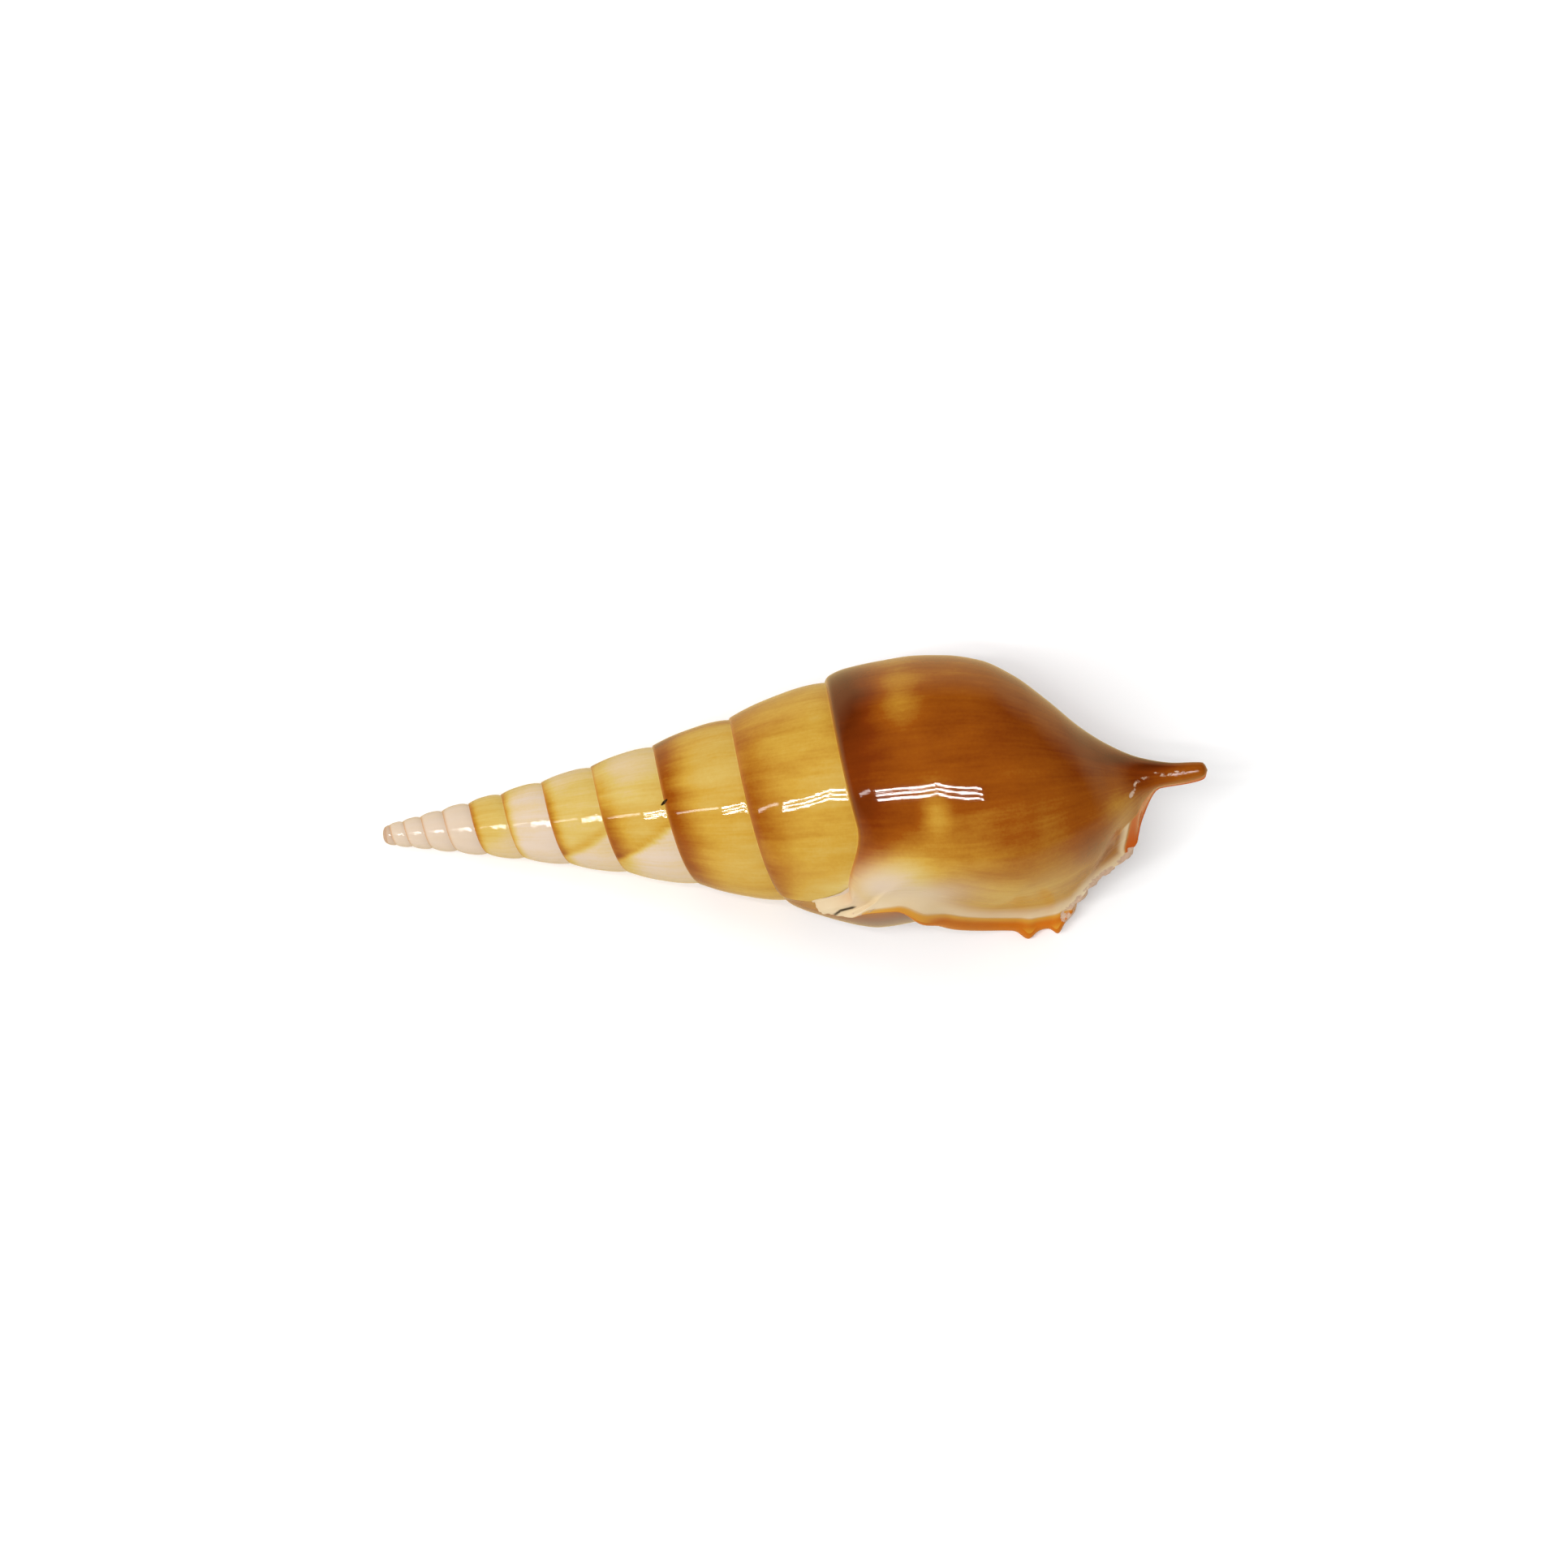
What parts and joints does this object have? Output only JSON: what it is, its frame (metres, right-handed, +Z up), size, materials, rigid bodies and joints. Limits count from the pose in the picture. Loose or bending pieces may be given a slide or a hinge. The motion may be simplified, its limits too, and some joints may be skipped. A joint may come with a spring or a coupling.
{
  "type": "tibia shell",
  "caption": "Slender coiled sea snail shell with a tall spire, a swollen last whorl, a flared toothed lip and a short straight canal.",
  "frame": {"origin": "centre of the bounding box at its base, on the surface that the shell lies on", "axes": "+X along the shell from the tip of the spire towards the canal, +Z up, away from the opening"},
  "size_m": [0.1422, 0.0468, 0.0505],
  "materials": {
    "shell": "glossy, banded brown, golden and cream"
  },
  "bodies": {
    "root": {"shell": "shell"}
  },
  "joints": []
}
